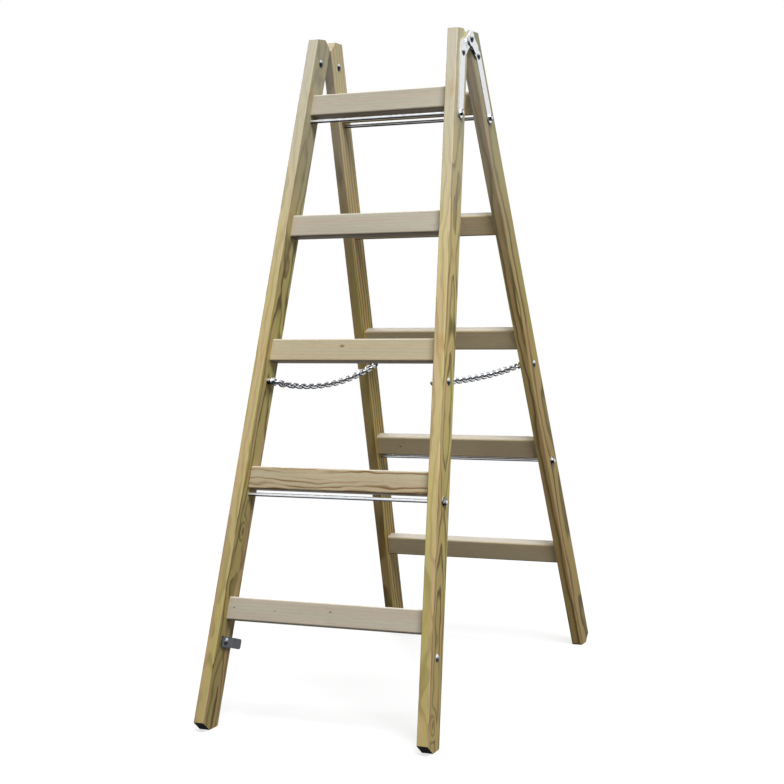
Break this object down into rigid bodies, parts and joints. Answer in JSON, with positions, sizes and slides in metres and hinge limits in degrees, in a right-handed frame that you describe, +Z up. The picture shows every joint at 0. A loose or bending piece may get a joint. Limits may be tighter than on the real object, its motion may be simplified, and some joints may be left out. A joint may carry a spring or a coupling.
{
  "type": "trestle ladder",
  "caption": "Folding wooden trestle ladder: two tapering rung frames hinged at the top, tied across by steel rods, held open by spreader chains and standing on chamfered feet.",
  "frame": {"origin": "on the floor, midway between the four feet, with the ladder standing open", "axes": "+Z up; +X across the ladder along the hinge axis, to the right as seen from the front frame; front frame towards -Y, rear frame towards +Y"},
  "size_m": [0.5292, 1.036, 1.461],
  "materials": {
    "stile_wood": "planed, oiled",
    "rung_wood": "planed, unvarnished",
    "galvanised_steel": "bright zinc plating",
    "dark_steel": "dull dark grey"
  },
  "bodies": {
    "front_frame": {"front_stile_left": "stile_wood", "front_stile_right": "stile_wood", "front_rung_1": "rung_wood", "front_rung_2": "rung_wood", "front_rung_3": "rung_wood", "front_rung_4": "rung_wood", "front_rung_5": "rung_wood", "front_tie_rod_lower": "galvanised_steel", "front_tie_rod_upper": "galvanised_steel", "front_rod_nuts": "galvanised_steel", "front_rod_washers": "galvanised_steel", "front_hinge_strap_left": "galvanised_steel", "front_hinge_strap_right": "galvanised_steel", "hinge_pin_left": "galvanised_steel", "hinge_pin_right": "galvanised_steel", "front_hinge_rivets": "galvanised_steel", "front_chain_bolts": "galvanised_steel", "catch_bolts": "galvanised_steel"},
    "rear_frame": {"rear_stile_left": "stile_wood", "rear_stile_right": "stile_wood", "rear_rung_1": "rung_wood", "rear_rung_2": "rung_wood", "rear_rung_3": "rung_wood", "rear_rung_4": "rung_wood", "rear_rung_5": "rung_wood", "rear_tie_rod_lower": "galvanised_steel", "rear_tie_rod_upper": "galvanised_steel", "rear_rod_nuts": "galvanised_steel", "rear_rod_washers": "galvanised_steel", "rear_hinge_strap_left": "galvanised_steel", "rear_hinge_strap_right": "galvanised_steel", "rear_hinge_rivets": "galvanised_steel", "rear_chain_bolts": "galvanised_steel"},
    "left_front_chain_1": {"left_chain_front_1": "galvanised_steel"},
    "left_front_chain_2": {"left_chain_front_2": "galvanised_steel"},
    "left_front_chain_3": {"left_chain_front_3": "galvanised_steel"},
    "left_rear_chain_1": {"left_chain_rear_1": "galvanised_steel"},
    "left_rear_chain_2": {"left_chain_rear_2": "galvanised_steel"},
    "left_rear_chain_3": {"left_chain_rear_3": "galvanised_steel"},
    "right_front_chain_1": {"right_chain_front_1": "galvanised_steel"},
    "right_front_chain_2": {"right_chain_front_2": "galvanised_steel"},
    "right_front_chain_3": {"right_chain_front_3": "galvanised_steel"},
    "right_rear_chain_1": {"right_chain_rear_1": "galvanised_steel"},
    "right_rear_chain_2": {"right_chain_rear_2": "galvanised_steel"},
    "right_rear_chain_3": {"right_chain_rear_3": "galvanised_steel"},
    "left_catch": {"closing_catch_left": "dark_steel"},
    "right_catch": {"closing_catch_right": "dark_steel"}
  },
  "joints": [
    {"name": "rear_fold", "type": "hinge", "parent": "front_frame", "child": "rear_frame", "pos_m": [0, 0, 1.44077], "axis": [1, 0, 0], "range_deg": [-35.2, 0]},
    {"name": "left_front_chain_turn_1", "type": "hinge", "parent": "front_frame", "child": "left_front_chain_1", "pos_m": [-0.18875, -0.26609, 0.71107], "axis": [1, 0, 0], "range_deg": [-87.32, 0], "deforming": ["left_chain_front_1"]},
    {"name": "left_front_chain_turn_2", "type": "hinge", "parent": "left_front_chain_1", "child": "left_front_chain_2", "pos_m": [-0.18875, -0.17699, 0.69532], "axis": [1, 0, 0], "range_deg": [-8.89, 0], "deforming": ["left_chain_front_2"]},
    {"name": "left_front_chain_turn_3", "type": "hinge", "parent": "left_front_chain_2", "child": "left_front_chain_3", "pos_m": [-0.18875, -0.08405, 0.68575], "axis": [1, 0, 0], "range_deg": [-9.35, 0], "deforming": ["left_chain_front_3"]},
    {"name": "left_rear_chain_turn_1", "type": "hinge", "parent": "rear_frame", "child": "left_rear_chain_1", "pos_m": [-0.18875, 0.26609, 0.71107], "axis": [1, 0, 0], "range_deg": [0, 87.32], "deforming": ["left_chain_rear_1"]},
    {"name": "left_rear_chain_turn_2", "type": "hinge", "parent": "left_rear_chain_1", "child": "left_rear_chain_2", "pos_m": [-0.18875, 0.17699, 0.69532], "axis": [1, 0, 0], "range_deg": [0, 8.89], "deforming": ["left_chain_rear_2"]},
    {"name": "left_rear_chain_turn_3", "type": "hinge", "parent": "left_rear_chain_2", "child": "left_rear_chain_3", "pos_m": [-0.18875, 0.08405, 0.68575], "axis": [1, 0, 0], "range_deg": [0, 9.35], "deforming": ["left_chain_rear_3"]},
    {"name": "right_front_chain_turn_1", "type": "hinge", "parent": "front_frame", "child": "right_front_chain_1", "pos_m": [0.18875, -0.26609, 0.71107], "axis": [1, 0, 0], "range_deg": [-94.29, 0], "deforming": ["right_chain_front_1"]},
    {"name": "right_front_chain_turn_2", "type": "hinge", "parent": "right_front_chain_1", "child": "right_front_chain_2", "pos_m": [0.18875, -0.17634, 0.70624], "axis": [1, 0, 0], "range_deg": [-6.02, 0], "deforming": ["right_chain_front_2"]},
    {"name": "right_front_chain_turn_3", "type": "hinge", "parent": "right_front_chain_2", "child": "right_front_chain_3", "pos_m": [0.18875, -0.08355, 0.70331], "axis": [1, 0, 0], "range_deg": [-6.57, 0], "deforming": ["right_chain_front_3"]},
    {"name": "right_rear_chain_turn_1", "type": "hinge", "parent": "rear_frame", "child": "right_rear_chain_1", "pos_m": [0.18875, 0.26609, 0.71107], "axis": [1, 0, 0], "range_deg": [0, 94.29], "deforming": ["right_chain_rear_1"]},
    {"name": "right_rear_chain_turn_2", "type": "hinge", "parent": "right_rear_chain_1", "child": "right_rear_chain_2", "pos_m": [0.18875, 0.17634, 0.70624], "axis": [1, 0, 0], "range_deg": [0, 6.02], "deforming": ["right_chain_rear_2"]},
    {"name": "right_rear_chain_turn_3", "type": "hinge", "parent": "right_rear_chain_2", "child": "right_rear_chain_3", "pos_m": [0.18875, 0.08355, 0.70331], "axis": [1, 0, 0], "range_deg": [0, 6.57], "deforming": ["right_chain_rear_3"]},
    {"name": "left_catch_swing", "type": "hinge", "parent": "front_frame", "child": "left_catch", "pos_m": [-0.22796, -0.43617, 0.17493], "axis": [0.9984, -0.0169, -0.0532], "range_deg": [-90, 0]},
    {"name": "right_catch_swing", "type": "hinge", "parent": "front_frame", "child": "right_catch", "pos_m": [0.22796, -0.43617, 0.17493], "axis": [0.9984, 0.0169, 0.0532], "range_deg": [-90, 0]}
  ],
  "couplings": [
    {"joint": "left_front_chain_turn_1", "follows": "rear_fold", "ratio": 2.4759},
    {"joint": "left_front_chain_turn_2", "follows": "rear_fold", "ratio": 0.25199},
    {"joint": "left_front_chain_turn_3", "follows": "rear_fold", "ratio": 0.26506},
    {"joint": "left_rear_chain_turn_1", "follows": "rear_fold", "ratio": -2.4759},
    {"joint": "left_rear_chain_turn_2", "follows": "rear_fold", "ratio": -0.25199},
    {"joint": "left_rear_chain_turn_3", "follows": "rear_fold", "ratio": -0.26506},
    {"joint": "right_front_chain_turn_1", "follows": "rear_fold", "ratio": 2.6733},
    {"joint": "right_front_chain_turn_2", "follows": "rear_fold", "ratio": 0.17074},
    {"joint": "right_front_chain_turn_3", "follows": "rear_fold", "ratio": 0.18636},
    {"joint": "right_rear_chain_turn_1", "follows": "rear_fold", "ratio": -2.6733},
    {"joint": "right_rear_chain_turn_2", "follows": "rear_fold", "ratio": -0.17074},
    {"joint": "right_rear_chain_turn_3", "follows": "rear_fold", "ratio": -0.18636}
  ]
}
